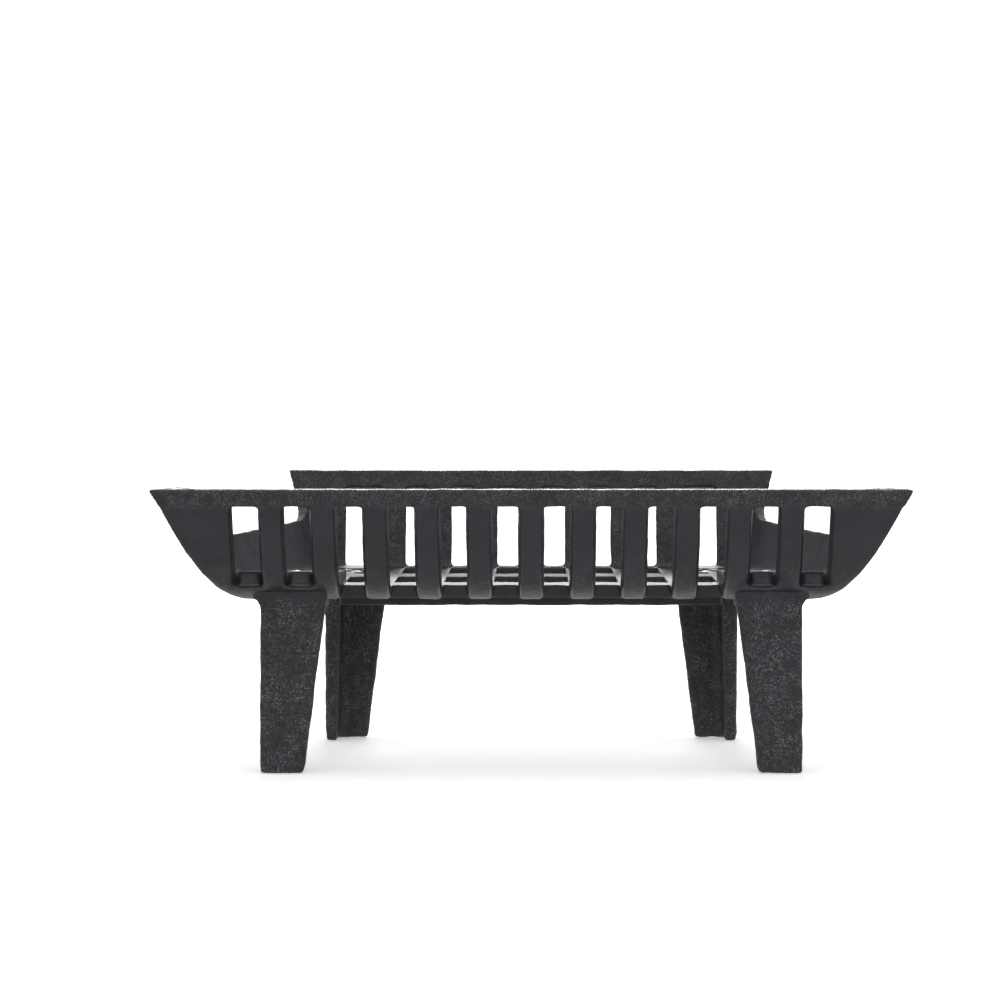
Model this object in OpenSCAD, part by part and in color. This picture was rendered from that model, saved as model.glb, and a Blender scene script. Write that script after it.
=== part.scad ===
// Cast-iron log grate: one tapered basket casting on four bolt-on legs.
// +X is to the right seen from the front, +Y is to the rear, +Z is up.
// The origin is on the hearth, under the middle of the basket.

/* [Basket] */
// Width over the tips of the front rim
front_width = 510; // [490:1:560]
// Depth from the front rim to the back of the rear rail
overall_depth = 320; // [310:1:340]
// Height of the top of the front rim above the hearth
rim_height = 195.5; // [190:0.5:205]
// Height of the top of the rear rail above the hearth
rail_height = 201; // [196:0.5:210]
// Height of the underside of the basket above the hearth
underside_height = 118; // [110:1:125]
// Thickness of the walls and of the floor
wall = 9; // [7:0.5:11]
// Angle by which each side wall closes in towards the rear, in degrees
side_taper = 12.63; // [10:0.01:14]

/* [Flare of the walls] */
// Radius of the bend from the wall into the floor
bend_r = 35.4; // [30:0.2:40]
// Radius of the long, shallow curve above the bend
sweep_r = 232; // [200:1:400]
// Lean of the wall from vertical where the two curves join, in degrees
join_lean = 37.3; // [34:0.1:40]
// Inset of the flat floor from the front rim
floor_inset = 62.4; // [60:0.1:66]
// Flare of the side walls as a share of the flare of the front wall
side_flare = 0.757; // [0.7:0.001:0.8]

/* [Bars and slots] */
// Distance between the centre lines of neighbouring bars
bar_pitch = 35; // [34:0.1:36]
// Number of front bars
front_bars = 11; // [11]
// Width of a bar on the inside of the basket
bar_inner_w = 18.8; // [17:0.1:20]
// Width of a bar on the outside, narrower by the draft of the mould
bar_outer_w = 14.8; // [13:0.1:16]
// Radius of the top corners of the front openings
slot_corner_r = 3.5; // [2:0.5:6]
// Distance of the first cross strip of the floor from the front rim
strip_1_front = 76; // [74:1:80]
// Near end of the first row of floor slots
row_1_front = 107; // [104:1:112]
// Far end of the first row of floor slots
row_1_rear = 177; // [172:1:182]
// Near end of the second row of floor slots
row_2_front = 213; // [208:1:218]
// Far end of the second row of floor slots
row_2_rear = 289; // [286:1:290]

/* [Rim, rail and rib] */
// Height of the front rim band
rim_band = 12.2; // [10:0.1:14]
// Thickness of the front rim, front to back
rim_t = 12.5; // [11:0.5:15]
// Height of the rear rail
rail_band = 13.5; // [12:0.5:15]
// Thickness of the rear rail, front to back
rail_t = 12; // [10:0.5:14]
// Number of rear staves
rear_staves = 7; // [7]
// Distance from the centre line to the end panel of the rear wall
end_panel_x = 141.3; // [140:0.1:143]
// How far the tips of the front rim stand out past the side walls
rim_tips = 1.2; // [0.5:0.1:2]
// Drop of the top of the front rim from its inner to its outer edge
rim_slope = 1; // [0.5:0.1:1.5]
// Lowest point of the rib that hangs under the middle strip of the floor
rib_bottom = 103.5; // [100:0.5:106]
// Thickness of the rib
rib_t = 8; // [7:0.5:9]

/* [Legs] */
// Distance of the outer face of a front leg from the centre line
front_leg_x = 185.2; // [182:0.1:188]
// Distance of the outer face of a rear leg from the centre line
rear_leg_x = 153.5; // [152.5:0.5:154.5]
// Distance of the front face of the front legs from the front rim
front_leg_in = 44; // [42:1:46]
// Distance of the back face of the rear legs from the front rim
rear_leg_in = 271; // [270:1:272]
// Width of each flange of a leg at the foot
leg_foot_w = 30; // [28:0.5:32]
// Width of each flange of a leg at the head
leg_head_w = 45; // [43:0.5:46]
// Thickness of a flange at the foot
leg_foot_t = 8.5; // [8:0.1:9]
// Thickness of a flange at the head
leg_head_t = 12; // [10.5:0.5:12.5]
// Thickness of the pad at the head of a leg
leg_pad_t = 6; // [5:0.5:6]

/* [Fasteners] */
// Nominal diameter of the leg bolts
bolt_d = 8; // [8]
// Length under the head of the bolts of the front legs
front_bolt_l = 30; // [30:5:40]
// Length under the head of the bolts of the rear legs
rear_bolt_l = 20; // [20:5:30]
// Diameter of the cup head
head_d = 20; // [19:0.5:20.5]
// Height of the cup head
head_h = 4.6; // [4.4:0.1:4.8]
// Height of the front corner bosses inside the basket above the hearth
front_boss_top = 137; // [135:0.5:138]
// Height of the low steps in the rear corners of the floor above the hearth
rear_step_top = 128.6; // [128:0.1:130]

/* [Hidden] */

IRON = "#3a3a3c";
STEEL = "#55565a";
eps = 0.01;
far = 400;

// Depths are measured from the front rim; this is the rim's place on the Y axis.
front_y = -overall_depth / 2;
half_w = front_width / 2 - rim_tips / cos(side_taper);
floor_top = underside_height + wall;

// ---- The flare: two arcs, seen in section, from the rim down to the flat of the floor.
// A station is given by the lean of the wall there: 90 degrees at the floor, about 19 at the rim.
bend_steps = 12;
sweep_steps = 7;
crest_lean = 15.5;
join_e = floor_inset - bend_r * cos(join_lean);
join_z = underside_height + bend_r * (1 - sin(join_lean));
sweep_e = join_e + sweep_r * cos(join_lean);
sweep_z = join_z + sweep_r * sin(join_lean);
stations = concat(
    [for (i = [0 : sweep_steps]) crest_lean + (join_lean - crest_lean) * i / sweep_steps],
    [for (i = [1 : bend_steps]) join_lean + (90 - join_lean) * i / bend_steps]
);

// Point of the flare at lean a, pushed inwards by n; k squeezes the inset, for the side walls.
function flare_e(a) = a <= join_lean
    ? sweep_e - sweep_r * cos(a)
    : floor_inset - bend_r * cos(a);
function flare_z(a) = a <= join_lean
    ? sweep_z - sweep_r * sin(a)
    : underside_height + bend_r * (1 - sin(a));
function inward(a, k) = [cos(a) / k, sin(a)] / norm([cos(a) / k, sin(a)]);
function flare(a, n = 0, k = 1) = [k * flare_e(a), flare_z(a)] + n * inward(a, k);
// Lean at which the outside of the flare passes a given height above the join.
function lean_at(z) = asin((sweep_z - z) / sweep_r);

// ---- The rear wall: a straight lean with a small bend at the foot.
rear_lean = 11.5;
rear_bend_r = 14;
rear_top_z = rail_height + 5;
// Depth at which the inner and outer faces of the rear wall would meet the top of the floor.
rear_inner_d = 293;
rear_foot_d = rear_inner_d + wall / cos(rear_lean);
rear_bend_steps = 4;
rear_run = tan((90 - rear_lean) / 2) * rear_bend_r;
rear_corner_d = rear_foot_d - wall * tan(rear_lean);
rear_bend_c = [rear_corner_d - rear_run, underside_height + rear_bend_r];
function rear_line(n) = concat(
    [for (i = [0 : rear_bend_steps])
        let (a = (90 - rear_lean) * i / rear_bend_steps)
        rear_bend_c + (rear_bend_r - n) * [sin(a), -cos(a)]],
    [[rear_bend_c[0] + (rear_bend_r - n) * cos(rear_lean)
        + (rear_top_z - rear_bend_c[1] + (rear_bend_r - n) * sin(rear_lean)) * tan(rear_lean),
      rear_top_z]]
);

// Draws a section given as [depth, height] and carries it along X from x0 to x1.
module along_x(x0, x1) {
    translate([x0, front_y, 0])
        rotate([90, 0, 90])
        linear_extrude(height = x1 - x0)
        children();
}

// How far a section of the side runs on past the front; the rear needs twice that, because the
// side's own section plane is turned by the taper and would otherwise trim the far corner.
side_spare = 100;

// Draws a section given as [inset, height] and carries it along the line of the right-hand side.
module along_side() {
    translate([half_w, front_y, 0])
        rotate([0, 0, side_taper])
        translate([0, overall_depth + 2 * side_spare, 0])
        rotate([90, 0, 0])
        mirror([1, 0, 0])
        linear_extrude(height = overall_depth + 3 * side_spare)
        children();
}

module mirrored() {
    children();
    mirror([1, 0, 0]) children();
}

// The space inside the basket, closed at the top, pulled in by n on every face.
module trough(n) {
    intersection() {
        along_x(-far, far)
            polygon(concat([for (a = stations) flare(a, n)], rear_line(n)));
        side_trough(n);
        mirror([1, 0, 0]) side_trough(n);
    }
}

module side_trough(n) {
    along_side()
        polygon(concat(
            [for (a = stations) flare(a, n, side_flare)],
            [[2 * far, underside_height + n], [2 * far, flare(stations[0], n, side_flare)[1]]]
        ));
}

// ---- Openings between the front bars.
gap_outer = (bar_pitch - bar_outer_w) / 2;
gap_inner = (bar_pitch - bar_inner_w) / 2;
draft = (gap_outer - gap_inner) / wall;
opening_top = rim_height - rim_band;
lean_top = lean_at(opening_top);
corner_steps = 3;
// How far a cutter starts in front of the wall.
slot_out = 3;
// Reach of the cutters behind the outer face.
bar_reach = wall + 4;
// The openings over the legs stop at a level ledge, with an upright face of the boss behind it.
ledge_z = underside_height + wall;
ledge_back = 50;
ledge_reach = 24;
ledge_last_lean = 80;

// A station of an opening is [lean, run along the floor, what the corner takes off each side].
function corner_station(q) = [
    lean_at(opening_top - slot_corner_r * (1 - cos(q))),
    0,
    slot_corner_r * (1 - sin(q))
];

function opening_path(last_lean, run) = concat(
    [for (i = [0 : corner_steps]) corner_station(90 * i / corner_steps)],
    [for (a = stations) if (a > lean_top + 2 && a < last_lean - 1) [a, 0, 0]],
    [[last_lean, 0, 0]],
    run > 0 ? [[last_lean, run, 0]] : []
);

// A cutter with drafted sides, swept down the flare at x.
module bar_opening(x, path, reach) {
    ring = [for (s = path)
        for (c = [[-slot_out, -1], [-slot_out, 1], [reach, 1], [reach, -1]])
        let (p = flare(s[0], c[0]))
        [x + c[1] * (gap_outer - draft * c[0] - s[2]), front_y + p[0] + s[1], p[1]]];
    last = len(path) - 1;
    sides = [for (i = [0 : last - 1])
        for (j = [0 : 3])
        let (k = (j + 1) % 4)
        [4 * i + j, 4 * i + k, 4 * i + 4 + k, 4 * i + 4 + j]];
    polyhedron(
        points = ring,
        faces = concat([[3, 2, 1, 0]], sides, [[for (j = [0 : 3]) 4 * last + j]]),
        convexity = 4
    );
}

module front_openings() {
    full = opening_path(90, strip_1_front - floor_inset);
    short = opening_path(ledge_last_lean, 0);
    for (side = [-1, 1])
        for (k = [0.5 : 1 : front_bars / 2])
            if (k < 4) {
                bar_opening(side * k * bar_pitch, full, bar_reach);
            } else {
                intersection() {
                    bar_opening(side * k * bar_pitch, short, ledge_reach);
                    translate([-far, front_y - slot_out - 1, ledge_z])
                        cube([2 * far, ledge_back + slot_out + 1, far]);
                }
            }
}

// ---- Slots of the floor, wider below so that cinders do not jam in them.
// The outermost slots of the second row stop in front of the rear bolts.
row_2_short = 232.5;
// The outermost slots of the first row start this far behind the front bosses.
boss_gap = 5;

module floor_slot(k, d0, d1) {
    below = 1;
    above = 2;
    top = gap_inner - draft * above;
    bottom = gap_inner + draft * (wall + below);
    translate([k * bar_pitch, front_y + d1, floor_top])
        rotate([90, 0, 0])
        linear_extrude(height = d1 - d0)
        polygon([[-bottom, -wall - below], [bottom, -wall - below], [top, above], [-top, above]]);
}

module floor_slots() {
    for (side = [-1, 1]) {
        for (k = [0.5 : 1 : 3.5]) {
            floor_slot(side * k, row_1_front, row_1_rear);
            floor_slot(side * k, row_2_front, k < 3 ? row_2_rear : row_2_short);
        }
        floor_slot(side * 4.5, front_boss_rear + boss_gap, row_1_rear);
    }
}

// ---- Openings of the rear wall, between the staves and beside the end panels.
stave_inner_w = 19.6;
stave_outer_w = 15.6;
sill_z = floor_top + 1.5;
rear_opening_top = rail_height - rail_band;

module rear_opening(x, inner, outer) {
    spare = 4;
    slope = (outer - inner) / wall;
    length = (rear_opening_top - sill_z) / cos(rear_lean);
    sill_d = rear_inner_d + (sill_z - floor_top) * tan(rear_lean);
    translate([x, front_y + sill_d, sill_z])
        rotate([-rear_lean, 0, 0])
        linear_extrude(height = length)
        polygon([
            [-inner + slope * spare, -spare], [inner - slope * spare, -spare],
            [outer + slope * spare, wall + spare], [-outer - slope * spare, wall + spare]
        ]);
}

module rear_openings() {
    last_stave = (rear_staves - 1) / 2;
    for (i = [0 : rear_staves - 2])
        rear_opening(
            (i - last_stave + 0.5) * bar_pitch,
            (bar_pitch - stave_inner_w) / 2,
            (bar_pitch - stave_outer_w) / 2
        );
    wide_from = last_stave * bar_pitch + stave_inner_w / 2;
    wide_half = (end_panel_x - wide_from) / 2;
    for (side = [-1, 1])
        rear_opening(side * (wide_from + wide_half), wide_half, wide_half + draft * wall);
}

// ---- The dished side walls: a drop behind the front corner, a low run, and a sweep up to the rail.
dish_z = 157.3;
dish_rise = 4.2;
dish_tilt = 23;
crest_y = 44;
crest_r = 8;
drop_angle = 55;
dish_r = 26;
sweep_up_r = 34;
sweep_up_y = 282;
dish_steps = 6;
// How far the cut reaches inwards, clear of the rear openings, outwards and upwards.
dish_in = 16;
dish_out = 40;
dish_high = 70;

function arc(c, r, a0, a1) = [for (i = [0 : dish_steps])
    let (a = a0 + (a1 - a0) * i / dish_steps)
    c + r * [cos(a), sin(a)]];

module side_dish() {
    crest_v = (rim_height - dish_z) / cos(dish_tilt);
    drop_v = crest_v - crest_r * (1 - cos(drop_angle)) - dish_r * (1 - cos(drop_angle));
    dish_y = crest_y + (crest_r + dish_r) * sin(drop_angle) + drop_v / tan(drop_angle);
    translate([half_w, front_y, 0])
        rotate([0, 0, side_taper])
        translate([-flare(lean_at(dish_z), 0, side_flare)[0], 0, dish_z])
        rotate([0, dish_tilt, 0])
        translate([-dish_in, 0, 0])
        rotate([90, 0, 90])
        linear_extrude(height = dish_in + dish_out)
        polygon(concat(
            [[crest_y, dish_high]],
            arc([crest_y, crest_v - crest_r], crest_r, 90, 90 - drop_angle),
            arc([dish_y, dish_r], dish_r, 270 - drop_angle, 270),
            arc([sweep_up_y, dish_rise + sweep_up_r], sweep_up_r, 270, 360),
            [[sweep_up_y + sweep_up_r, dish_high]]
        ));
}

// ---- Corner bosses, where the leg bolts pass through the floor.
front_boss_front = 36;
front_boss_rear = 118;
front_boss_x = 4 * bar_pitch - bar_inner_w / 2;
// The rear outer corner of a front boss is cut off, from this place on its side.
front_boss_corner_x = 190;
front_boss_side = 75;
rear_step_front = 262;
rear_step_x = 3 * bar_pitch + bar_inner_w / 2;

module boss_block(plan, top) {
    translate([0, front_y, underside_height])
        linear_extrude(height = top - underside_height)
        polygon(plan);
}

module corner_bosses() {
    intersection() {
        trough(wall / 2);
        mirrored() {
            boss_block([
                [front_boss_x, front_boss_front], [half_w, front_boss_front],
                [half_w, front_boss_side], [front_boss_corner_x, front_boss_side],
                [front_boss_x + 2 * wall, front_boss_rear], [front_boss_x, front_boss_rear]
            ], front_boss_top);
            boss_block([
                [rear_step_x, rear_step_front], [half_w, rear_step_front],
                [half_w, overall_depth], [rear_step_x, overall_depth]
            ], rear_step_top);
        }
    }
}

// Place of each bolt, measured inwards from the outer corner of its leg along X and Y.
front_bolt_in = [22, 33];
rear_bolt_in = [22, 22];
front_bolt = [front_leg_x - front_bolt_in[0], front_leg_in + front_bolt_in[1]];
rear_bolt = [rear_leg_x - rear_bolt_in[0], rear_leg_in - rear_bolt_in[1]];
recess_depth = 4.5;
recess_clearance = 0.5;
neck_w = 8.1;
// The square neck ends just above the underside of the floor, clear of the leg.
neck_gap = 0.1;
neck_h = wall - recess_depth - neck_gap;
neck_hole_w = 9;
bolt_hole_d = 9;

// A hole for one bolt: a round recess for the cup head over a square hole for the neck.
module bolt_hole(place, top) {
    translate([place[0], front_y + place[1], 0]) {
        translate([0, 0, top - recess_depth])
            cylinder(d = head_d + 2 * recess_clearance, h = recess_depth + wall, $fn = 64);
        translate([-neck_hole_w / 2, -neck_hole_w / 2, underside_height - 1])
            cube([neck_hole_w, neck_hole_w, top - recess_depth - underside_height + 2]);
    }
}

module bolt_holes() {
    mirrored() {
        bolt_hole(front_bolt, front_boss_top);
        bolt_hole(rear_bolt, floor_top);
    }
}

// ---- Rim, rail and rib.
// How far the rim stands proud of the bars.
rim_proud = 1;

// The outline of the side of the rim, which leans out past the side wall to the tip.
module rim_side() {
    along_side()
        polygon([
            [-rim_tips, rim_height + 1], [-rim_tips, rim_height - rim_slope],
            flare(lean_top, 0, side_flare), [2 * far, opening_top - wall], [2 * far, rim_height + 1]
        ]);
}

module rim() {
    intersection() {
        along_x(-front_width, front_width)
            polygon([
                [0, rim_height - rim_slope], [0, rim_height - rim_slope - rim_proud],
                flare(lean_top, -rim_proud), flare(lean_top, wall + rim_proud), [rim_t, rim_height]
            ]);
        rim_side();
        mirror([1, 0, 0]) rim_side();
    }
}

module rail() {
    lean_run = rail_band * tan(rear_lean);
    intersection() {
        along_x(-half_w, half_w)
            polygon([
                [overall_depth - rail_t, rail_height], [overall_depth, rail_height],
                [overall_depth - lean_run, rear_opening_top],
                [overall_depth - rail_t - lean_run, rear_opening_top]
            ]);
        side_trough(0);
        mirror([1, 0, 0]) side_trough(0);
    }
}

// The rib hangs under the solid strip between the two rows of floor slots.
rib_half = 140.5;

module rib() {
    along_x(-rib_half, rib_half)
        polygon([
            [row_2_front - rib_t, rib_bottom], [row_2_front, rib_bottom],
            [row_2_front, underside_height + wall / 2], [row_2_front - rib_t, underside_height + wall / 2]
        ]);
}

// Where the height of the walls changes from that of the rim to that of the rail.
rail_from = overall_depth - 60;

module above(z, d0, d1) {
    translate([-far, front_y + d0, z]) cube([2 * far, d1 - d0, far]);
}

module basket() {
    color(IRON)
    difference() {
        union() {
            difference() {
                union() {
                    difference() {
                        trough(0);
                        trough(wall);
                        mirrored() side_dish();
                        above(rim_height, -rim_t, rail_from);
                        above(rail_height, rail_from - 1, overall_depth + rail_t);
                    }
                    corner_bosses();
                    rib();
                }
                front_openings();
                floor_slots();
                rear_openings();
            }
            rim();
            rail();
        }
        bolt_holes();
    }
}

// ---- Legs. Each is drawn with its outer corner at the origin, flanges along +X and +Y.
// The blank of a leg runs on up into the bend of the basket, whose underside trims it.
leg_overrun = 14;
leg_reach = underside_height + leg_overrun;
pad_z = underside_height - leg_pad_t;
outer_fillet = 5;
inner_fillet = 1;

function leg_t(z) = leg_foot_t + (leg_head_t - leg_foot_t) * z / underside_height;

// One view of a leg, from its outer edge inwards, with the flare that spreads its head.
module leg_outline(fillet_out, fillet_in) {
    difference() {
        polygon([
            [0, 0], [leg_foot_w, 0], [leg_head_w, underside_height - fillet_in],
            [leg_head_w + fillet_in, underside_height - fillet_in],
            [leg_head_w + fillet_in, leg_reach], [-fillet_out, leg_reach],
            [-fillet_out, underside_height - fillet_out], [0, underside_height - fillet_out]
        ]);
        if (fillet_out > 0)
            translate([-fillet_out, underside_height - fillet_out])
                circle(r = fillet_out, $fn = 48);
        if (fillet_in > 0)
            translate([leg_head_w + fillet_in, underside_height - fillet_in])
                circle(r = fillet_in, $fn = 48);
    }
}

module pocket_outline(w) {
    polygon([[leg_t(0), 0], [w, 0], [w, pad_z], [leg_t(pad_z), pad_z]]);
}

module leg_blank(bolt_in) {
    w = leg_head_w + inner_fillet + 1;
    difference() {
        intersection() {
            translate([0, w, 0])
                rotate([90, 0, 0])
                linear_extrude(height = w)
                leg_outline(outer_fillet, inner_fillet);
            translate([-outer_fillet - 1, 0, 0])
                rotate([90, 0, 90])
                linear_extrude(height = w + outer_fillet + 1)
                leg_outline(0, inner_fillet);
        }
        intersection() {
            translate([0, w + 1, -eps])
                rotate([90, 0, 0])
                linear_extrude(height = w + 1)
                pocket_outline(w + 1);
            translate([0, 0, -eps])
                rotate([90, 0, 90])
                linear_extrude(height = w + 1)
                pocket_outline(w + 1);
        }
        translate([bolt_in[0], bolt_in[1], pad_z - 1])
            cylinder(d = bolt_hole_d, h = leg_reach - pad_z + 2, $fn = 48);
    }
}

// side is 1 on the right and -1 on the left; end is 1 at the front and -1 at the rear.
module place_at_corner(side, end) {
    x = end > 0 ? front_leg_x : rear_leg_x;
    d = end > 0 ? front_leg_in : rear_leg_in;
    translate([side * x, front_y + d, 0])
        mirror([side > 0 ? 1 : 0, 0, 0])
        mirror([0, end > 0 ? 0 : 1, 0])
        children();
}

module leg(side, end) {
    color(IRON)
    difference() {
        place_at_corner(side, end) leg_blank(end > 0 ? front_bolt_in : rear_bolt_in);
        trough(0);
    }
}

// ---- Fasteners.
module place_at_bolt(side, end) {
    bolt_in = end > 0 ? front_bolt_in : rear_bolt_in;
    place_at_corner(side, end)
        translate([bolt_in[0], bolt_in[1], 0])
        children();
}

shank_d = bolt_d - 0.1;
washer_d = 16;
washer_t = 1.6;
washer_hole_d = 8.4;
nut_w = 13;
nut_h = 6.8;
tip_chamfer = 1;

module leg_bolt(side, end) {
    bolt_l = end > 0 ? front_bolt_l : rear_bolt_l;
    seat_z = (end > 0 ? front_boss_top : floor_top) - recess_depth;
    cup_r = (head_d * head_d / 4 + head_h * head_h) / (2 * head_h);
    color(STEEL)
    place_at_bolt(side, end)
        translate([0, 0, seat_z]) {
            rotate_extrude($fn = 64)
                intersection() {
                    translate([0, head_h - cup_r]) circle(r = cup_r, $fn = 128);
                    square([head_d / 2, head_h]);
                }
            translate([-neck_w / 2, -neck_w / 2, -neck_h])
                cube([neck_w, neck_w, neck_h]);
            rotate_extrude($fn = 48)
                polygon([
                    [0, 0], [shank_d / 2, 0], [shank_d / 2, -bolt_l + tip_chamfer],
                    [shank_d / 2 - tip_chamfer, -bolt_l], [0, -bolt_l]
                ]);
        }
}

module leg_washer(side, end) {
    color(STEEL)
    place_at_bolt(side, end)
        translate([0, 0, pad_z - washer_t])
        difference() {
            cylinder(d = washer_d, h = washer_t, $fn = 48);
            translate([0, 0, -1]) cylinder(d = washer_hole_d, h = washer_t + 2, $fn = 48);
        }
}

module leg_nut(side, end) {
    corner_r = nut_w / 2 / cos(30);
    bevel = 0.5;
    color(STEEL)
    place_at_bolt(side, end)
        translate([0, 0, pad_z - washer_t - nut_h])
        difference() {
            intersection() {
                cylinder(r = corner_r, h = nut_h, $fn = 6);
                rotate_extrude($fn = 48)
                    polygon([
                        [0, 0], [nut_w / 2, 0], [corner_r, bevel],
                        [corner_r, nut_h - bevel], [nut_w / 2, nut_h], [0, nut_h]
                    ]);
            }
            translate([0, 0, -1]) cylinder(d = bolt_d, h = nut_h + 2, $fn = 48);
        }
}

basket();
leg(-1, 1);  // front_left_leg
leg(1, 1);  // front_right_leg
leg(-1, -1);  // rear_left_leg
leg(1, -1);  // rear_right_leg
leg_bolt(-1, 1);  // front_left_leg_bolt
leg_bolt(1, 1);  // front_right_leg_bolt
leg_bolt(-1, -1);  // rear_left_leg_bolt
leg_bolt(1, -1);  // rear_right_leg_bolt
leg_washer(-1, 1);  // front_left_leg_washer
leg_washer(1, 1);  // front_right_leg_washer
leg_washer(-1, -1);  // rear_left_leg_washer
leg_washer(1, -1);  // rear_right_leg_washer
leg_nut(-1, 1);  // front_left_leg_nut
leg_nut(1, 1);  // front_right_leg_nut
leg_nut(-1, -1);  // rear_left_leg_nut
leg_nut(1, -1);  // rear_right_leg_nut
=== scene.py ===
"""Looks of a cast-iron log grate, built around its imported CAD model."""

import math

import bpy
import numpy as np
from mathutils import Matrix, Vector, noise


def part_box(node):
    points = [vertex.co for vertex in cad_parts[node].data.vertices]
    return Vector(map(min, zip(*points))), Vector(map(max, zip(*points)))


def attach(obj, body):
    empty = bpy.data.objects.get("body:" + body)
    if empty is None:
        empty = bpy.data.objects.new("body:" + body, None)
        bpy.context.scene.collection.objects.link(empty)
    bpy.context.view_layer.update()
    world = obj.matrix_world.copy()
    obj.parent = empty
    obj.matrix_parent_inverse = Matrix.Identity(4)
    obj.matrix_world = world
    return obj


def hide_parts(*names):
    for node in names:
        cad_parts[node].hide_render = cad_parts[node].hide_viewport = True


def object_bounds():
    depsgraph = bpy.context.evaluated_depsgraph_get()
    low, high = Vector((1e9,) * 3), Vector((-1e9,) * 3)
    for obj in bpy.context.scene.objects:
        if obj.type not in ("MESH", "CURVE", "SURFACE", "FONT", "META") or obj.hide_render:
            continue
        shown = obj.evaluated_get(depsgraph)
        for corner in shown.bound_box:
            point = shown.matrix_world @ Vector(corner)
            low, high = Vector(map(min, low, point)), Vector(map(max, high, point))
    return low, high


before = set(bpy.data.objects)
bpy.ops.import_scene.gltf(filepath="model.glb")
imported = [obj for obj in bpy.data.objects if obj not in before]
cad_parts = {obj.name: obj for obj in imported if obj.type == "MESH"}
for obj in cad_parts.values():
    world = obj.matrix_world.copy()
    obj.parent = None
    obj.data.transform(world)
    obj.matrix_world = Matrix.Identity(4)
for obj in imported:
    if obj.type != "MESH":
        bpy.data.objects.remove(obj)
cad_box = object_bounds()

MM = 0.001
CORNERS = ("front_left", "front_right", "rear_left", "rear_right")

# ---- Camera: level, straight on, fitted to the photograph.
CAMERA_DISTANCE = 2.190
CAMERA_HEIGHT = 0.257
CAMERA_LENS = 109.5
PICTURE = 1000
PRINCIPAL_POINT = (531.2, 397.0)


def make_camera():
    data = bpy.data.cameras.new("camera")
    camera = bpy.data.objects.new("camera", data)
    bpy.context.scene.collection.objects.link(camera)
    camera.location = (0, -CAMERA_DISTANCE, CAMERA_HEIGHT)
    camera.rotation_euler = (math.radians(90), 0, 0)
    data.lens = CAMERA_LENS
    data.shift_x = (PICTURE / 2 - PRINCIPAL_POINT[0]) / PICTURE
    data.shift_y = (PRINCIPAL_POINT[1] - PICTURE / 2) / PICTURE
    bpy.context.scene.camera = camera


# ---- Light: a plain soft studio, with a white floor and background.
BACKGROUND = (1.0, 1.0, 1.0)
AMBIENT = 0.7
# The lamps: name, place, the point that each one faces, width and height, watts.
LAMPS = (
    ("overhead", (0, -0.25, 1.65), (0, 0, 0.1), (1.9, 1.5), 7.0),
    ("front_fill", (0, -2.6, 1.0), (0, 0, 0.12), (1.8, 1.0), 6.0),
    ("behind", (0, 1.9, 1.35), (0, 0, 0.12), (0.7, 0.7), 25.0),
    ("left_side", (-2.0, -0.2, 0.45), (0, 0, 0.1), (1.0, 0.7), 4.0),
    ("right_side", (2.0, -0.2, 0.45), (0, 0, 0.1), (1.0, 0.7), 4.0),
)


def make_lamp(name, place, target, size, watts):
    data = bpy.data.lights.new(name, "AREA")
    data.shape = "RECTANGLE"
    data.size, data.size_y = size
    data.energy = watts
    lamp = bpy.data.objects.new(name, data)
    bpy.context.scene.collection.objects.link(lamp)
    lamp.location = place
    lamp.rotation_euler = (Vector(target) - Vector(place)).to_track_quat("-Z", "Y").to_euler()


# ---- Node helpers.
class Nodes:
    """Adds nodes to a tree and links them by name of socket."""

    def __init__(self, tree):
        self.tree = tree
        tree.nodes.clear()

    def add(self, kind, **settings):
        node = self.tree.nodes.new(kind)
        for key, value in settings.items():
            setattr(node, key, value)
        return node

    def link(self, source, target):
        self.tree.links.new(source, target)

    def noise(self, place, scale, detail, roughness):
        node = self.add("ShaderNodeTexNoise")
        node.inputs["Scale"].default_value = scale
        node.inputs["Detail"].default_value = detail
        node.inputs["Roughness"].default_value = roughness
        self.link(place, node.inputs["Vector"])
        return node.outputs["Fac"]

    def calculate(self, operation, first, second):
        node = self.add("ShaderNodeMath", operation=operation)
        for socket, value in zip(node.inputs, (first, second)):
            if isinstance(value, bpy.types.NodeSocket):
                self.link(value, socket)
            else:
                socket.default_value = value
        return node.outputs[0]

    def times(self, first, second):
        return self.calculate("MULTIPLY", first, second)

    def most(self, first, second):
        return self.calculate("MAXIMUM", first, second)

    def shifted(self, place, by):
        node = self.add("ShaderNodeVectorMath", operation="ADD")
        node.inputs[1].default_value = (by, by, by)
        self.link(place, node.inputs[0])
        return node.outputs["Vector"]

    def span(self, source, low, high, to_low=0.0, to_high=1.0):
        node = self.add("ShaderNodeMapRange")
        node.inputs["From Min"].default_value = low
        node.inputs["From Max"].default_value = high
        node.inputs["To Min"].default_value = to_low
        node.inputs["To Max"].default_value = to_high
        self.link(source, node.inputs["Value"])
        return node.outputs["Result"]

    def mix(self, factor, first, second):
        node = self.add("ShaderNodeMix", data_type="RGBA")
        self.link(factor, node.inputs["Factor"])
        for socket, value in (("A", first), ("B", second)):
            target = [s for s in node.inputs if s.name == socket and s.type == "RGBA"][0]
            if isinstance(value, bpy.types.NodeSocket):
                self.link(value, target)
            else:
                target.default_value = (*value, 1.0)
        return [s for s in node.outputs if s.type == "RGBA"][0]

    def bump(self, height, strength, distance):
        node = self.add("ShaderNodeBump")
        node.inputs["Strength"].default_value = strength
        node.inputs["Distance"].default_value = distance
        self.link(height, node.inputs["Height"])
        return node.outputs["Normal"]


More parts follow.
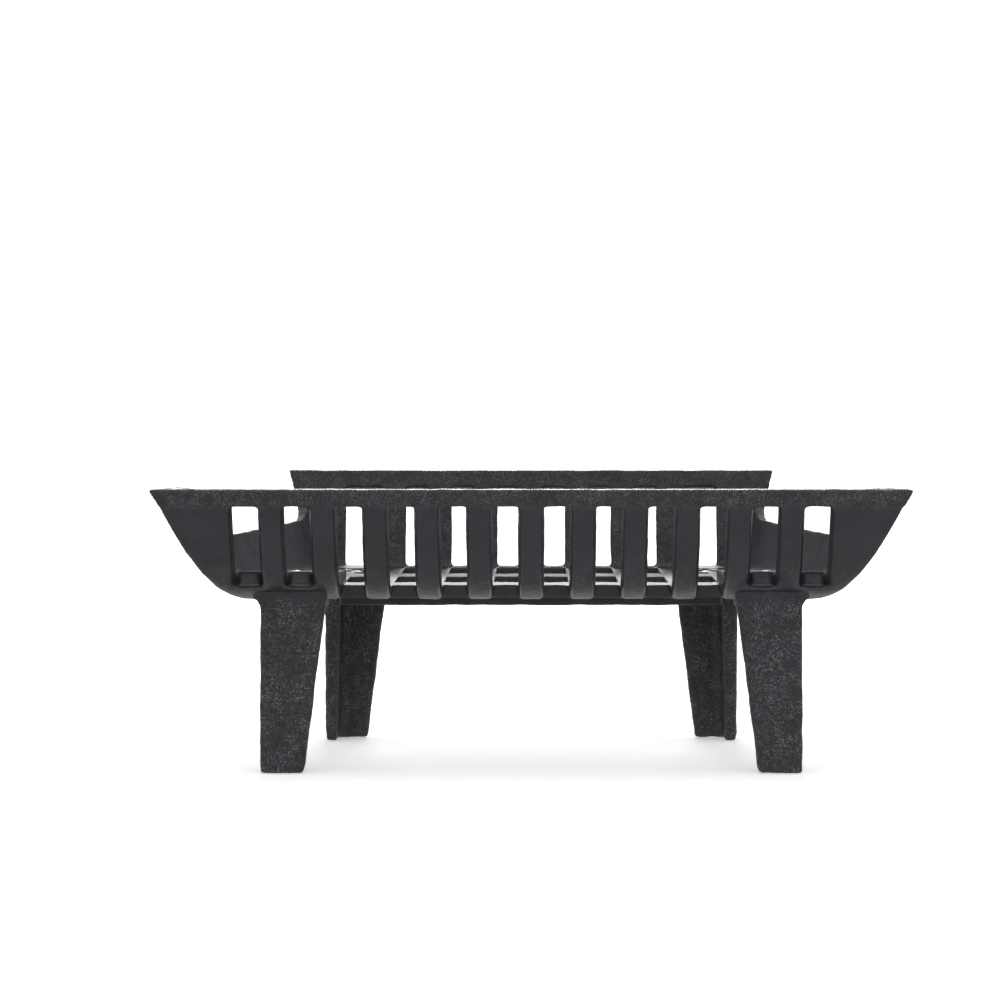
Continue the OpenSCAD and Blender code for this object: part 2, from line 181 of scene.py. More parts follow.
def make_world():
    world = bpy.data.worlds.new("studio")
    world.use_nodes = True
    nodes = Nodes(world.node_tree)
    output = nodes.add("ShaderNodeOutputWorld")
    ambient = nodes.add("ShaderNodeBackground")
    ambient.inputs["Color"].default_value = (*BACKGROUND, 1)
    ambient.inputs["Strength"].default_value = AMBIENT
    shown = nodes.add("ShaderNodeBackground")
    shown.inputs["Color"].default_value = (*BACKGROUND, 1)
    shown.inputs["Strength"].default_value = 1.0
    mix = nodes.add("ShaderNodeMixShader")
    path = nodes.add("ShaderNodeLightPath")
    mirrored = nodes.most(path.outputs["Is Glossy Ray"], path.outputs["Is Transmission Ray"])
    nodes.link(nodes.most(path.outputs["Is Camera Ray"], mirrored), mix.inputs[0])
    nodes.link(ambient.outputs[0], mix.inputs[1])
    nodes.link(shown.outputs[0], mix.inputs[2])
    nodes.link(mix.outputs[0], output.inputs["Surface"])
    bpy.context.scene.world = world


FLOOR_SIZE = 60.0
FLOOR_COLOUR = (0.82, 0.82, 0.82)
# What the floor adds to its own light in view, near the object and far from it: the lamps reach
# less of the far floor, and the background stays one even white.
FLOOR_LIFT_NEAR = 0.40
FLOOR_LIFT_FAR = 1.0
LIFT_FROM = 0.45
LIFT_TO = 1.6
# The floor as the gloss of the iron mirrors it.
FLOOR_MIRRORED = 1.0


def make_floor():
    mesh = bpy.data.meshes.new("floor")
    half = FLOOR_SIZE / 2
    mesh.from_pydata([(-half, -half, 0), (half, -half, 0), (half, half, 0), (-half, half, 0)],
                     [], [(0, 1, 2, 3)])
    floor = bpy.data.objects.new("floor", mesh)
    bpy.context.scene.collection.objects.link(floor)
    material = bpy.data.materials.new("floor")
    material.use_nodes = True
    nodes = Nodes(material.node_tree)
    output = nodes.add("ShaderNodeOutputMaterial")
    matt = nodes.add("ShaderNodeBsdfDiffuse")
    matt.inputs["Color"].default_value = (*FLOOR_COLOUR, 1)
    away = nodes.add("ShaderNodeVectorMath", operation="LENGTH")
    nodes.link(nodes.add("ShaderNodeTexCoord").outputs["Object"], away.inputs[0])
    level = nodes.span(away.outputs["Value"], LIFT_FROM, LIFT_TO, FLOOR_LIFT_NEAR, FLOOR_LIFT_FAR)
    lift = nodes.add("ShaderNodeEmission")
    path = nodes.add("ShaderNodeLightPath")
    nodes.link(nodes.times(path.outputs["Is Camera Ray"], level), lift.inputs["Strength"])
    seen = nodes.add("ShaderNodeAddShader")
    nodes.link(matt.outputs[0], seen.inputs[0])
    nodes.link(lift.outputs[0], seen.inputs[1])
    mirrored = nodes.add("ShaderNodeEmission")
    mirrored.inputs["Strength"].default_value = FLOOR_MIRRORED
    mix = nodes.add("ShaderNodeMixShader")
    nodes.link(nodes.most(path.outputs["Is Glossy Ray"], path.outputs["Is Transmission Ray"]),
               mix.inputs[0])
    nodes.link(seen.outputs[0], mix.inputs[1])
    nodes.link(mirrored.outputs[0], mix.inputs[2])
    nodes.link(mix.outputs[0], output.inputs["Surface"])
    mesh.materials.append(material)


# ---- Materials.
# Iron: sizes of its marks.
CLOUD_LENGTH = 22 * MM
TINT_LENGTH = 14 * MM
PATCH_LENGTH = 11 * MM
BLOTCH_LENGTH = 4.2 * MM
# How far off in the noise a mark is taken from, so that it doesn't follow the other marks.
TINT_AWAY = 0.71
BLOTCH_AWAY = 0.19
GLINT_AWAY = 0.37
# Its colours: clouds from dark to light, a cool tint over them, and bright blotches; the bright
# colour is also the painted glint on the sand of the basket.
IRON_DARK = (0.0098, 0.0060, 0.0118)
IRON_LIGHT = (0.0182, 0.0128, 0.0212)
IRON_COOL = (0.0105, 0.0112, 0.0120)
IRON_BRIGHT = (0.095, 0.090, 0.097)
# Share of the cool tint and of the blotches where they are strongest, and how much of the dark
# colour the painted shade in a pit leaves.
TINT = 0.4
BLOTCH = 0.28
PIT = 0.15
# The gloss of the iron, and how much its roughness differs from grain to grain.
SHINE = 0.41
UNEVEN = 0.07
# The values of each noise between which its mark changes; those of the clouds and of the roughness
# serve the steel too.
CLOUD_SPAN = (0.35, 0.65)
TINT_SPAN = (0.45, 0.65)
BLOTCH_SPAN = (0.50, 0.66)
PIT_SPAN = (0.30, 0.55)
GLINT_SPAN = (0.53, 0.62)
UNEVEN_SPAN = (0.30, 0.70)
# The same for the patches, between which these least shares of the painted glints and of the relief
# are left.
GLINT_PATCH_SPAN = (0.42, 0.58)
RELIEF_PATCH_SPAN = (0.35, 0.65)
LEAST_GLINTS = 0.25
LEAST_RELIEF = 0.4
# The two skins: size and depth of the grain, its share where the skin is smooth, and the colour of
# the glints painted on its sand.
BASKET_SKIN = {"grain": 1.1 * MM, "relief": 0.22 * MM, "smooth_share": 0.08, "glint": IRON_BRIGHT}
LEG_SKIN = {"grain": 1.2 * MM, "relief": 0.62 * MM, "smooth_share": 0.2,
            "glint": (0.138, 0.131, 0.141)}
# Kept on the points of a casting: how coarse its sand skin is, from 0 to 1, and its roughness.
# The coarse share also sets how much painted glint and painted shade in the hollows a skin gets.
COARSE = "coarse"
ROUGH = "rough"
# Blackened steel.
STEEL_DARK = (0.055, 0.054, 0.056)
STEEL_LIGHT = (0.100, 0.098, 0.100)
STEEL_CLOUDS_A_METRE = 260.0
STEEL_GRAINS_A_METRE = 2600.0
STEEL_RELIEF = 0.04 * MM
STEEL_ROUGHEST = 0.48
STEEL_SMOOTHEST = 0.34
STEEL_METALLIC = 0.85


def iron(name, grain, relief, smooth_share, glint):
    """Black cast iron with a sand-cast skin.

    Grain and relief are the size and the depth of the marks of the sand, in metres; smooth_share is
    the part of them that is left where the skin is smooth; glint is the colour of the glints painted
    on the sand, whose hollows get painted shade.
    """
    material = bpy.data.materials.new(name)
    material.use_nodes = True
    nodes = Nodes(material.node_tree)
    output = nodes.add("ShaderNodeOutputMaterial")
    shader = nodes.add("ShaderNodeBsdfPrincipled")
    place = nodes.add("ShaderNodeTexCoord").outputs["Object"]
    coarse = nodes.add("ShaderNodeAttribute", attribute_name=COARSE).outputs["Fac"]
    rough = nodes.add("ShaderNodeAttribute", attribute_name=ROUGH).outputs["Fac"]
    strength = nodes.span(coarse, 0.0, 1.0, smooth_share, 1.0)
    cloud = nodes.noise(place, 1 / CLOUD_LENGTH, detail=3.0, roughness=0.55)
    elsewhere = nodes.shifted(place, TINT_AWAY)
    tint = nodes.noise(elsewhere, 1 / TINT_LENGTH, detail=2.0, roughness=0.5)
    sand = nodes.noise(place, 1 / grain, detail=2.0, roughness=0.55)
    patches = nodes.noise(place, 1 / PATCH_LENGTH, detail=2.0, roughness=0.5)
    elsewhere = nodes.shifted(place, BLOTCH_AWAY)
    blotches = nodes.noise(elsewhere, 1 / BLOTCH_LENGTH, detail=2.0, roughness=0.6)
    elsewhere = nodes.shifted(place, GLINT_AWAY)
    glints = nodes.noise(elsewhere, 1 / grain, detail=3.0, roughness=0.7)
    tone = nodes.mix(nodes.span(cloud, *CLOUD_SPAN), IRON_DARK, IRON_LIGHT)
    tone = nodes.mix(nodes.span(tint, *TINT_SPAN, 0.0, TINT), tone, IRON_COOL)
    spots = nodes.times(strength, nodes.span(blotches, *BLOTCH_SPAN, 0.0, BLOTCH))
    tone = nodes.mix(spots, tone, IRON_BRIGHT)
    # Painted shade in the hollows of the sand, where its bump is lowest.
    pit_shade = nodes.times(strength, nodes.span(sand, *PIT_SPAN, 1.0, 0.0))
    tone = nodes.mix(pit_shade, tone, tuple(PIT * c for c in IRON_DARK))
    # Painted glints: bright colour on specks of the sand where grains would catch the light, crowded
    # in patches.
    crowded = nodes.span(patches, *GLINT_PATCH_SPAN, LEAST_GLINTS, 1.0)
    painted_glints = nodes.times(strength, nodes.times(nodes.span(glints, *GLINT_SPAN), crowded))
    nodes.link(nodes.mix(painted_glints, tone, glint), shader.inputs["Base Color"])
    uneven = nodes.times(strength, nodes.span(sand, *UNEVEN_SPAN, UNEVEN, -UNEVEN))
    nodes.link(nodes.calculate("ADD", rough, uneven), shader.inputs["Roughness"])
    shader.inputs["Specular IOR Level"].default_value = SHINE
    deep = nodes.span(patches, *RELIEF_PATCH_SPAN, LEAST_RELIEF, 1.0)
    height = nodes.times(nodes.times(sand, strength), deep)
    nodes.link(nodes.bump(height, strength=1.0, distance=relief), shader.inputs["Normal"])
    nodes.link(shader.outputs[0], output.inputs["Surface"])
    return material


def steel(name):
    """Blackened steel of the bolts, washers and nuts."""
    material = bpy.data.materials.new(name)
    material.use_nodes = True
    nodes = Nodes(material.node_tree)
    output = nodes.add("ShaderNodeOutputMaterial")
    shader = nodes.add("ShaderNodeBsdfPrincipled")
    place = nodes.add("ShaderNodeTexCoord").outputs["Object"]
    cloud = nodes.noise(place, STEEL_CLOUDS_A_METRE, detail=3.0, roughness=0.6)
    fine = nodes.noise(place, STEEL_GRAINS_A_METRE, detail=2.0, roughness=0.5)
    tone = nodes.mix(nodes.span(cloud, *CLOUD_SPAN), STEEL_DARK, STEEL_LIGHT)
    nodes.link(tone, shader.inputs["Base Color"])
    rough = nodes.span(cloud, *UNEVEN_SPAN, STEEL_ROUGHEST, STEEL_SMOOTHEST)
    nodes.link(rough, shader.inputs["Roughness"])
    shader.inputs["Metallic"].default_value = STEEL_METALLIC
    nodes.link(nodes.bump(fine, strength=0.35, distance=STEEL_RELIEF), shader.inputs["Normal"])
    nodes.link(shader.outputs[0], output.inputs["Surface"])
    return material


# ---- Castings: each CAD solid remeshed into one skin with worn edges and an uneven surface.
VOXEL = 1.0 * MM
WELD_GAP = 0.01 * MM
# The uneven skin: how deep it is let in, and the lengths and the depths of its waves and its grit.
SKIN_DEPTH = 0.05 * MM
WAVE_LENGTH = 13 * MM
GRIT_LENGTH = 3.2 * MM
BASKET_WAVINESS = 0.4 * MM
BASKET_GRIT = 0.14 * MM
LEG_WAVINESS = 0.5 * MM
LEG_GRIT = 0.2 * MM
# Share of the unevenness on the insides of the side walls.
WALL_UNEVEN = 0.3
# How far from an end of a casting its worn mesh is stretched back to full size.
END_REACH = 8 * MM
# Passes of wear, each of which rounds the edges a little more, and the share of the way to the
# middle of its neighbours that a point goes in one pass.
BASKET_WEAR = 5
LEDGE_WEAR = 36
LEG_HEAD_WEAR = 3
LEG_WEAR = 18
WEAR_STEP = 0.5


def ramp(value, low, high):
    """0 below low, 1 above high, and smooth between them; low may be the larger of the two."""
    share = np.clip((value - low) / (high - low), 0.0, 1.0)
    return share * share * (3 - 2 * share)


def remeshed(node, name):
    piece = bpy.data.objects.new(name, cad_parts[node].data.copy())
    bpy.context.scene.collection.objects.link(piece)
    weld = piece.modifiers.new("weld", "WELD")
    weld.merge_threshold = WELD_GAP
    remesh = piece.modifiers.new("remesh", "REMESH")
    remesh.mode = "VOXEL"
    remesh.voxel_size = VOXEL
    bpy.context.view_layer.update()
    skin = piece.evaluated_get(bpy.context.evaluated_depsgraph_get())
    mesh = bpy.data.meshes.new_from_object(skin)
    piece.modifiers.clear()
    piece.data = mesh
    mesh.name = name
    mesh.materials.clear()
    return piece


def points_of(mesh):
    place = np.empty(len(mesh.vertices) * 3, np.float32)
    mesh.vertices.foreach_get("co", place)
    return place.reshape(-1, 3).astype(float)


def put_points(mesh, place):
    mesh.vertices.foreach_set("co", place.astype(np.float32).ravel())
    mesh.update()


def normals_of(mesh):
    normal = np.empty(len(mesh.vertices) * 3, np.float32)
    mesh.vertex_normals.foreach_get("vector", normal)
    return normal.reshape(-1, 3)


def relax(mesh, passes, weight):
    """Moves each point towards the middle of its neighbours by its own weight, again and again."""
    place = points_of(mesh)
    ends = np.empty(len(mesh.edges) * 2, np.int32)
    mesh.edges.foreach_get("vertices", ends)
    one, other = ends.reshape(-1, 2).T
    count = len(place)
    neighbours = np.bincount(ends, minlength=count)
    for _ in range(passes):
        middle = np.empty_like(place)
        for axis in range(3):
            total = np.bincount(one, place[other, axis], count)
            total += np.bincount(other, place[one, axis], count)
            middle[:, axis] = total / neighbours
        place += np.reshape(weight, (-1, 1)) * (middle - place)
    put_points(mesh, place)


def noise_at(place, length):
    return np.array([noise.noise(Vector(p) / length) for p in place])


def roughen(mesh, waviness, grit, share=1.0):
    """Moves the skin in and out by a smoothly varying depth."""
    place = points_of(mesh)
    depth = share * (waviness * noise_at(place, WAVE_LENGTH) + grit * noise_at(place, GRIT_LENGTH))
    depth -= SKIN_DEPTH
    put_points(mesh, place + normals_of(mesh) * np.reshape(depth, (-1, 1)))


def restore_ends(mesh, low, high, axes):
    """Stretches the ends of a worn mesh back to the box of its CAD solid."""
    place = points_of(mesh)
    for axis in axes:
        for end, sign in ((low[axis], -1), (high[axis], 1)):
            away = sign * (end - place[:, axis])
            missing = away.min()
            place[:, axis] += sign * missing * ramp(away, missing + END_REACH, missing)
    put_points(mesh, np.clip(place, cad_box[0], cad_box[1]))


def finish_casting(piece, node, material, coarse, rough):
    mesh = piece.data
    for name, value in ((COARSE, coarse), (ROUGH, rough)):
        attribute = mesh.attributes.new(name, "FLOAT", "POINT")
        attribute.data.foreach_set("value", value.astype(np.float32))
    mesh.materials.append(material)
    mesh.polygons.foreach_set("use_smooth", np.ones(len(mesh.polygons), bool))
    mesh.update()
    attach(piece, "root")
    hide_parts(node)


# ---- The basket. Depths are measured back from the front of the rim, and "across" is the distance
# off the centre line.
# Where the tips of the rim begin, and how much less they wear.
TIP_FROM = 240 * MM
TIP_SPARED = 0.35
# The ledges over the front legs, washed smooth: top, depth, distance across.
LEDGE_HIGH = 138 * MM
LEDGE_REAR = 56 * MM
LEDGE_SIDE = 128 * MM
LEDGE_FADE = 8 * MM
# The tops of the front corner bosses, which stand up at their front edge and fall to the rear,
# most at their outer ends: height, front and rear end, start of the outer ends, lip, slopes.
BOSS_TOP = 137 * MM
BOSS_FRONT = 36 * MM
BOSS_REAR = 118 * MM
BOSS_SIDE = 172 * MM
BOSS_LIP = 1.3 * MM
BOSS_SLOPE = 0.042
BOSS_END_SLOPE = 0.046
# The skin that tilts with them: no part of it this far from their height, and all of it this near;
# how much of its normal points up; how far it goes past their edges.
BOSS_FAR = 4.5 * MM
BOSS_NEAR = 1.5 * MM
BOSS_FACING_UP = (0.6, 0.9)
BOSS_EDGE = 2 * MM
# Where the skin changes: height of the rim and the rail, place of the rear wall on Y, distance
# across of the side walls, and how much of the normal points to the middle on their insides.
RIM_LOW = 181 * MM
REAR_WALL = 128 * MM
SIDE_WALL = 140 * MM
COARSE_FADE = 5 * MM
FACING_MIDDLE = (0.5, 0.75)
# The feet of the front bars: height, depth, and how much of the normal points to the rear.
TOE_HIGH = 147 * MM
TOE_REAR = 62 * MM
TOE_FADE = 21 * MM
TOE_FACING_REAR = (0.2, 0.0)
# How coarse the insides of the side walls and the feet of the bars are.
WALL_COARSE = 0.12
TOE_COARSE = 0.4
# The notches in front of the bosses: how much of the normal points up.
NOTCH_FACING_UP = (-0.25, 0.0)
# The dull skin of the bosses: how much of its normal points up, and how far it reaches in front of
# them and above and below their tops.
DULL_FACING_UP = (0.1, 0.4)
DULL_FRONT = 4 * MM
DULL_HEIGHT = 2.5 * MM
# The rubbed tops: height of the rim and the rail, start of the sweep up to the rail and its
# height, and how much of the normal points up.
TOPS_LOW = 188 * MM
SWEEP = 108 * MM
SWEEP_LOW = 152 * MM
TOPS_FACING_UP = (0.35, 0.65)
# Roughness.
BASKET_ROUGH = 0.47
REAR_ROUGH = 0.58
WALL_ROUGH = 0.94
TOE_ROUGH = 0.34
NOTCH_ROUGH = 0.85
BOSS_ROUGH = 0.72
BOSS_END_ROUGH = 1.0
TOP_ROUGH = 0.36


def wear_basket(mesh, low, high):
    """Wears the edges; the tips of the rim keep their points, and the ledges are washed smooth."""
    place = points_of(mesh)
    depth = place[:, 1] - low[1]
    across = np.abs(place[:, 0])
    tips = ramp(across, TIP_FROM, high[0])
    relax(mesh, BASKET_WEAR, WEAR_STEP - TIP_SPARED * tips)
    ledges = (ramp(place[:, 2], LEDGE_HIGH, LEDGE_HIGH - LEDGE_FADE)
              * ramp(depth, LEDGE_REAR, LEDGE_REAR - LEDGE_FADE)
              * ramp(across, LEDGE_SIDE, LEDGE_SIDE + LEDGE_FADE))
    relax(mesh, LEDGE_WEAR, WEAR_STEP * ledges)


def tilt_bosses(mesh, front):
    """Lifts the front edges of the corner bosses and lets their tops fall to the rear."""
    place = points_of(mesh)
    across = np.abs(place[:, 0])
    depth = place[:, 1] - front
    top = (ramp(np.abs(place[:, 2] - BOSS_TOP), BOSS_FAR, BOSS_NEAR)
           * ramp(normals_of(mesh)[:, 2], *BOSS_FACING_UP)
           * ramp(depth, BOSS_FRONT - BOSS_EDGE, BOSS_FRONT)
           * (depth < BOSS_REAR + BOSS_EDGE)
           * (across > LEDGE_SIDE))
    ends = ramp(across, BOSS_SIDE, BOSS_SIDE + LEDGE_FADE)
    slope = BOSS_SLOPE + (BOSS_END_SLOPE - BOSS_SLOPE) * ends
    place[:, 2] += top * (BOSS_LIP - slope * (depth - BOSS_FRONT))
    put_points(mesh, place)


def wall_insides(mesh):
    """1 on the insides of the side walls and 0 elsewhere, smooth between them."""
    across = points_of(mesh)[:, 0]
    inwards = -normals_of(mesh)[:, 0] * np.sign(across)
    return ramp(inwards, *FACING_MIDDLE) * ramp(np.abs(across), SIDE_WALL, SIDE_WALL + COARSE_FADE)


def basket_skins(mesh, front):
    """How coarse and how rough each point of the basket is.

    The rim, the rail and the rear wall have the coarse skin. The insides of the side walls and the
    outer ends of the bosses are the dullest. The feet of the bars and the tops of the rim and the
    rail are rubbed smooth.
    """
    place = points_of(mesh)
    normal = normals_of(mesh)
    depth = place[:, 1] - front
    across = np.abs(place[:, 0])
    upper = ramp(place[:, 2], RIM_LOW, RIM_LOW + COARSE_FADE)
    rear = ramp(place[:, 1], REAR_WALL, REAR_WALL + COARSE_FADE)
    inside = wall_insides(mesh)
    toes = (ramp(place[:, 2], TOE_HIGH, TOE_HIGH - TOE_FADE)
            * ramp(depth, TOE_REAR, TOE_REAR - TOE_FADE)
            * ramp(normal[:, 1], *TOE_FACING_REAR))
    notches = (ramp(normal[:, 2], *NOTCH_FACING_UP)
               * (place[:, 2] < LEDGE_HIGH)
               * (depth < BOSS_FRONT + BOSS_EDGE)
               * (across > LEDGE_SIDE))
    bosses = (ramp(normal[:, 2], *DULL_FACING_UP) * (1 - inside)
              * (across > LEDGE_SIDE)
              * (depth > BOSS_FRONT - DULL_FRONT)
              * (np.abs(place[:, 2] - BOSS_TOP) < DULL_HEIGHT))
    boss_ends = bosses * ramp(across, BOSS_SIDE, BOSS_SIDE + LEDGE_FADE)
    tops = np.maximum(ramp(place[:, 2], TOPS_LOW, TOPS_LOW + COARSE_FADE),
                      ramp(place[:, 1], SWEEP, SWEEP + COARSE_FADE) * (place[:, 2] > SWEEP_LOW))
    tops = tops * ramp(normal[:, 2], *TOPS_FACING_UP)
    coarse = np.maximum.reduce([upper, rear, WALL_COARSE * inside, TOE_COARSE * toes])
    rough = np.full(len(place), BASKET_ROUGH)
    for share, value in ((rear, REAR_ROUGH), (inside, WALL_ROUGH), (toes, TOE_ROUGH),
                         (notches, NOTCH_ROUGH), (bosses, BOSS_ROUGH), (boss_ends, BOSS_END_ROUGH),
                         (tops, TOP_ROUGH)):
        rough += share * (value - rough)
    return coarse, rough


def make_basket(material):
    piece = remeshed("basket", "basket_casting")
    mesh = piece.data
    low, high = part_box("basket")
    wear_basket(mesh, low, high)
    tilt_bosses(mesh, low[1])
    roughen(mesh, BASKET_WAVINESS, BASKET_GRIT, 1 - (1 - WALL_UNEVEN) * wall_insides(mesh))
    restore_ends(mesh, low, high, (0, 1, 2))
    coarse, rough = basket_skins(mesh, low[1])
    finish_casting(piece, "basket", material, coarse, rough)


# ---- The legs.
# Height, thickness of the flanges at the foot and at the head, spread of the head, inner fillet.
LEG_HEIGHT = 118 * MM
LEG_FOOT_T = 8.5 * MM
LEG_HEAD_T = 12 * MM
LEG_SPREAD = 5 * MM
CORNER_FILLET = 7.5 * MM
# How far past the fillet, into the flanges, points are still taken along.
FILLET_MARGIN = 1.5 * MM
LEG_ROUGH = 0.60
# The heads of the legs are less worn than the rest, and smooth at the very top.
LEG_HEAD_LOW = 113 * MM
LEG_HEAD_FADE = 8 * MM
GRAIN_END = 121 * MM
GRAIN_FADE = 6 * MM
# The lumpy end of a foot: its height, the size of the lumps, their depth at the sides, the share
# of it below, and how far off in the noise they are taken from.
FOOT_END = 16 * MM
FOOT_LUMP = 8 * MM
FOOT_WOBBLE = 0.9 * MM
FOOT_WOBBLE_BELOW = 0.4
FOOT_NOISE_AWAY = 0.5
# The fillet between the front face of a front leg and the bend of the basket above it: radius,
# angle, and the depths to which the skin goes along whole and in part.
HEAD_FILLET = 6.5 * MM
HEAD_ANGLE = math.radians(60)
HEAD_SKIN = 1.5 * MM
HEAD_SKIN_END = 4.5 * MM
# How far the outer end of a head is rounded off, seen from above, the height that this begins at,
# and how deep it reaches.
HEAD_ROUND = 5 * MM
HEAD_ROUND_FROM = 104 * MM
HEAD_ROUND_DEPTH = 15 * MM
# How far the head of a leg is let into the basket, so that no gap opens between their worn edges,
# and how far below the joint this begins and is complete.
HEAD_SEAT = 0.8 * MM
HEAD_SEAT_FROM = 2 * MM
HEAD_SEAT_FULL = 0.5 * MM


def fill_corner(mesh, outer_corner, inwards):
    """Rounds the inner corner between the flanges of a leg with a fillet."""
    place = points_of(mesh)
    thickness = LEG_FOOT_T + (LEG_HEAD_T - LEG_FOOT_T) * place[:, 2] / LEG_HEIGHT
    # Distances from the inner faces of the two flanges, less the radius: the fillet's own axes.
    axes = [inwards[i] * (place[:, i] - outer_corner[i]) - thickness - CORNER_FILLET
            for i in (0, 1)]
    radius = np.hypot(*axes)
    deepest = -CORNER_FILLET - FILLET_MARGIN
    inside = np.logical_and.reduce([(axis < 0) & (axis > deepest) for axis in axes])
    onto_fillet = CORNER_FILLET / np.maximum(radius, MM) - 1
    grow = np.where(inside & (radius > CORNER_FILLET), onto_fillet, 0.0)
    for i in (0, 1):
        place[:, i] += inwards[i] * axes[i] * grow
    put_points(mesh, place)


def wobble_foot(mesh):
    """Makes the cast end of the foot a little lumpy."""
    place = points_of(mesh)
    share = ramp(place[:, 2], FOOT_END, 0.0)
    depth = FOOT_WOBBLE * noise_at(place + FOOT_NOISE_AWAY, FOOT_LUMP)
    normal = normals_of(mesh) * (1.0, 1.0, FOOT_WOBBLE_BELOW)
    put_points(mesh, place + normal * np.reshape(depth * share, (-1, 1)))


def spread_head(mesh, front, joint):
    """Carries the front face of a leg up onto the bend of the basket in a small fillet."""
    place = points_of(mesh)
    reach = HEAD_FILLET * math.tan(HEAD_ANGLE / 2)
    start = joint - reach
    angle = HEAD_ANGLE * np.clip((place[:, 2] - start) / reach, 0.0, 1.0)
    share = ramp(place[:, 1], front + HEAD_SKIN_END, front + HEAD_SKIN)
    share = share * (place[:, 2] > start)
    place[:, 1] -= share * HEAD_FILLET * (1 - np.cos(angle))
    place[:, 2] += share * (start + HEAD_FILLET * np.sin(angle) - place[:, 2])
    put_points(mesh, place)


def round_head(mesh, front, end):
    """Rounds off the outer end of the head of a front leg, seen from above."""
    place = points_of(mesh)
    left_over = np.clip(HEAD_ROUND - np.abs(place[:, 0] - end), 0.0, HEAD_ROUND)
    back = HEAD_ROUND - np.sqrt(HEAD_ROUND ** 2 - left_over ** 2)
    share = ramp(place[:, 1], front + HEAD_ROUND_DEPTH, front)
    share = share * ramp(place[:, 2], HEAD_ROUND_FROM, HEAD_ROUND_FROM + HEAD_ROUND)
    place[:, 1] += share * back
    put_points(mesh, place)


def seat_head(mesh):
    """Lets the top of a leg a little way into the basket."""
    place = points_of(mesh)
    share = ramp(place[:, 2], LEG_HEIGHT - HEAD_SEAT_FROM, LEG_HEIGHT - HEAD_SEAT_FULL)
    place[:, 2] += HEAD_SEAT * share
    put_points(mesh, place)


def make_leg(corner, material):
    node = f"{corner}_leg"
    piece = remeshed(node, f"{node}_casting")
    mesh = piece.data
    low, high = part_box(node)
    left = corner.endswith("left")
    front = corner.startswith("front")
    outer_corner = (low[0] + LEG_SPREAD if left else high[0] - LEG_SPREAD,
                    low[1] if front else high[1])
    inwards = (1 if left else -1, 1 if front else -1)
    # The shares of the second wear, by the heights before the first one.
    worn = ramp(points_of(mesh)[:, 2], LEG_HEAD_LOW, LEG_HEAD_LOW - LEG_HEAD_FADE)
    relax(mesh, LEG_HEAD_WEAR, WEAR_STEP)
    fill_corner(mesh, outer_corner, inwards)
    relax(mesh, LEG_WEAR, WEAR_STEP * worn)
    roughen(mesh, LEG_WAVINESS, LEG_GRIT)
    wobble_foot(mesh)
    restore_ends(mesh, low, high, (2,))
    if front:
        spread_head(mesh, low[1], high[2])
        round_head(mesh, low[1], low[0] if left else high[0])
    seat_head(mesh)
    coarse = ramp(points_of(mesh)[:, 2], GRAIN_END, GRAIN_END - GRAIN_FADE)
    finish_casting(piece, node, material, coarse, np.full(len(coarse), LEG_ROUGH))


# ---- Bolts: cup head, square neck and a real right-hand thread, each one closed mesh.
BOLT_SIDES = 64
# The angles around a bolt, and the angle between faces from which its edges stay sharp.
BOLT_TURN = np.linspace(0, 2 * math.pi, BOLT_SIDES, endpoint=False)
BOLT_CREASE = math.radians(40)
# The cup: its height, its rings as shares of the way from the top to the edge, the height of the
# edge, and how far the seat draws in.
CUP_HEIGHT = 4.6 * MM
CUP_RINGS = np.linspace(0.06, 0.98, 14)
CUP_EDGE = 0.12 * MM
CUP_SEAT_IN = 0.1 * MM
# The neck: half its width, its length, the power that makes it square, its start, and its chamfer
# along and across the bolt.
NECK_HALF = 4.05 * MM
NECK_LENGTH = 4.4 * MM
NECK_CORNER = 6
NECK_START = 0.05 * MM
NECK_CHAMFER = 0.3 * MM
NECK_CHAMFER_IN = 0.25 * MM
# The shank: its radius, how far below the neck it begins, and the chamfer of its tip.
SHANK_RADIUS = 3.95 * MM
SHANK_START = 0.1 * MM
TIP_CHAMFER = 1.0 * MM
# The thread: its pitch, its depth, half of its flat crest in pitches, the turns below the neck over
# which it comes in, and the rows of points in a turn.
THREAD_PITCH = 1.25 * MM
THREAD_DEPTH = 0.75 * MM
THREAD_CREST = 0.16
THREAD_RUN_IN = (1.0, 2.5)
ROWS_A_TURN = 10


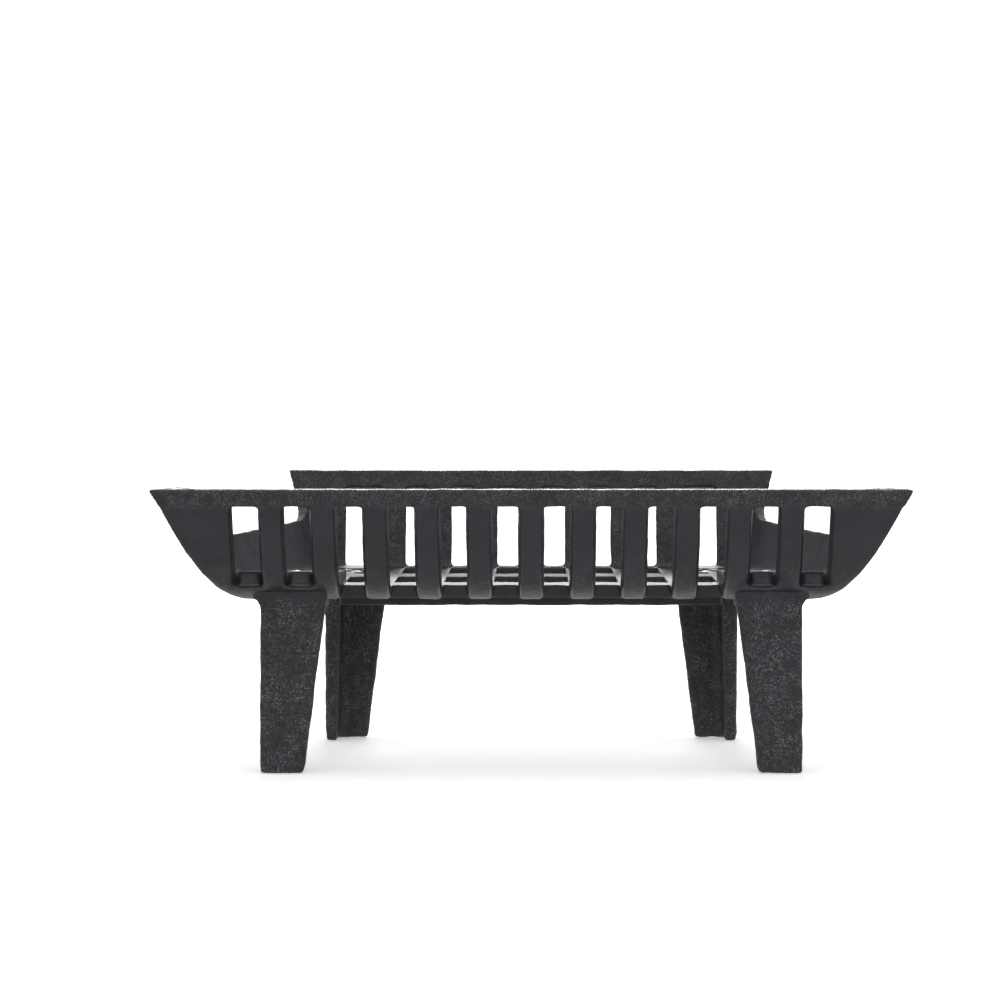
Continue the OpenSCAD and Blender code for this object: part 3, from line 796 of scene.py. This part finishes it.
def bolt_rings(head_radius, length):
    """Depths below the seat of the head, and the radii around the bolt at each."""
    even = np.ones(BOLT_SIDES)
    cup_radius = (head_radius ** 2 + CUP_HEIGHT ** 2) / (2 * CUP_HEIGHT)
    half_angle = math.asin(head_radius / cup_radius)
    for share in CUP_RINGS:
        angle = share * half_angle
        yield -CUP_HEIGHT + cup_radius * (1 - math.cos(angle)), cup_radius * math.sin(angle) * even
    yield -CUP_EDGE, head_radius * even
    yield 0.0, (head_radius - CUP_SEAT_IN) * even
    # A square with rounded corners, as a curve between a circle and a square.
    powers = np.abs(np.cos(BOLT_TURN)) ** NECK_CORNER + np.abs(np.sin(BOLT_TURN)) ** NECK_CORNER
    square = NECK_HALF * powers ** (-1 / NECK_CORNER)
    for depth in (NECK_START, 0.5 * NECK_LENGTH, NECK_LENGTH - NECK_CHAMFER):
        yield depth, square
    yield NECK_LENGTH, square - NECK_CHAMFER_IN
    rows = round((length - NECK_LENGTH) / THREAD_PITCH * ROWS_A_TURN)
    run_in_from, run_in_to = (NECK_LENGTH + turns * THREAD_PITCH for turns in THREAD_RUN_IN)
    for depth in np.linspace(NECK_LENGTH + SHANK_START, length, rows):
        phase = (depth / THREAD_PITCH + BOLT_TURN / (2 * math.pi)) % 1.0
        rise = np.clip((0.5 - np.abs(phase - 0.5)) / (0.5 - THREAD_CREST), 0.0, 1.0)
        run_in = ramp(depth, run_in_from, run_in_to)
        radius = SHANK_RADIUS - THREAD_DEPTH * (1 - rise) * run_in
        yield depth, np.minimum(radius, SHANK_RADIUS - TIP_CHAMFER + (length - depth))


def closed_skin(points):
    """Faces over a first point, whole rings of points, and a last point."""
    rings = (len(points) - 2) // BOLT_SIDES
    last = 1 + (rings - 1) * BOLT_SIDES
    faces = []
    for i in range(BOLT_SIDES):
        beside = (i + 1) % BOLT_SIDES
        faces.append((0, 1 + i, 1 + beside))
        for ring in range(rings - 1):
            start = 1 + ring * BOLT_SIDES
            below = start + BOLT_SIDES
            faces.append((start + i, below + i, below + beside, start + beside))
        faces.append((last + i, len(points) - 1, last + beside))
    return faces


def make_bolt(node, material):
    low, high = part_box(node)
    centre = [(low[i] + high[i]) / 2 for i in (0, 1)]
    seat = high[2] - CUP_HEIGHT
    points = [(*centre, high[2])]
    for depth, radii in bolt_rings((high[0] - low[0]) / 2, seat - low[2]):
        points += [(centre[0] + r * math.cos(a), centre[1] + r * math.sin(a), seat - depth)
                   for r, a in zip(radii, BOLT_TURN)]
    points.append((*centre, low[2]))
    name = f"{node}_threaded"
    mesh = bpy.data.meshes.new(name)
    mesh.from_pydata(points, [], closed_skin(points))
    mesh.polygons.foreach_set("use_smooth", np.ones(len(mesh.polygons), bool))
    mesh.set_sharp_from_angle(angle=BOLT_CREASE)
    mesh.materials.append(material)
    piece = bpy.data.objects.new(name, mesh)
    bpy.context.scene.collection.objects.link(piece)
    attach(piece, "root")
    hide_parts(node)


make_camera()
make_world()
make_floor()
for lamp in LAMPS:
    make_lamp(*lamp)

make_basket(iron("basket_iron", **BASKET_SKIN))
leg_iron = iron("leg_iron", **LEG_SKIN)
fastener_steel = steel("fastener_steel")
for corner in CORNERS:
    make_leg(corner, leg_iron)
    make_bolt(f"{corner}_leg_bolt", fastener_steel)
    for kind in ("washer", "nut"):
        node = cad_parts[f"{corner}_leg_{kind}"]
        node.data.materials.clear()
        node.data.materials.append(fastener_steel)

scene = bpy.context.scene
scene.view_settings.view_transform = "Standard"
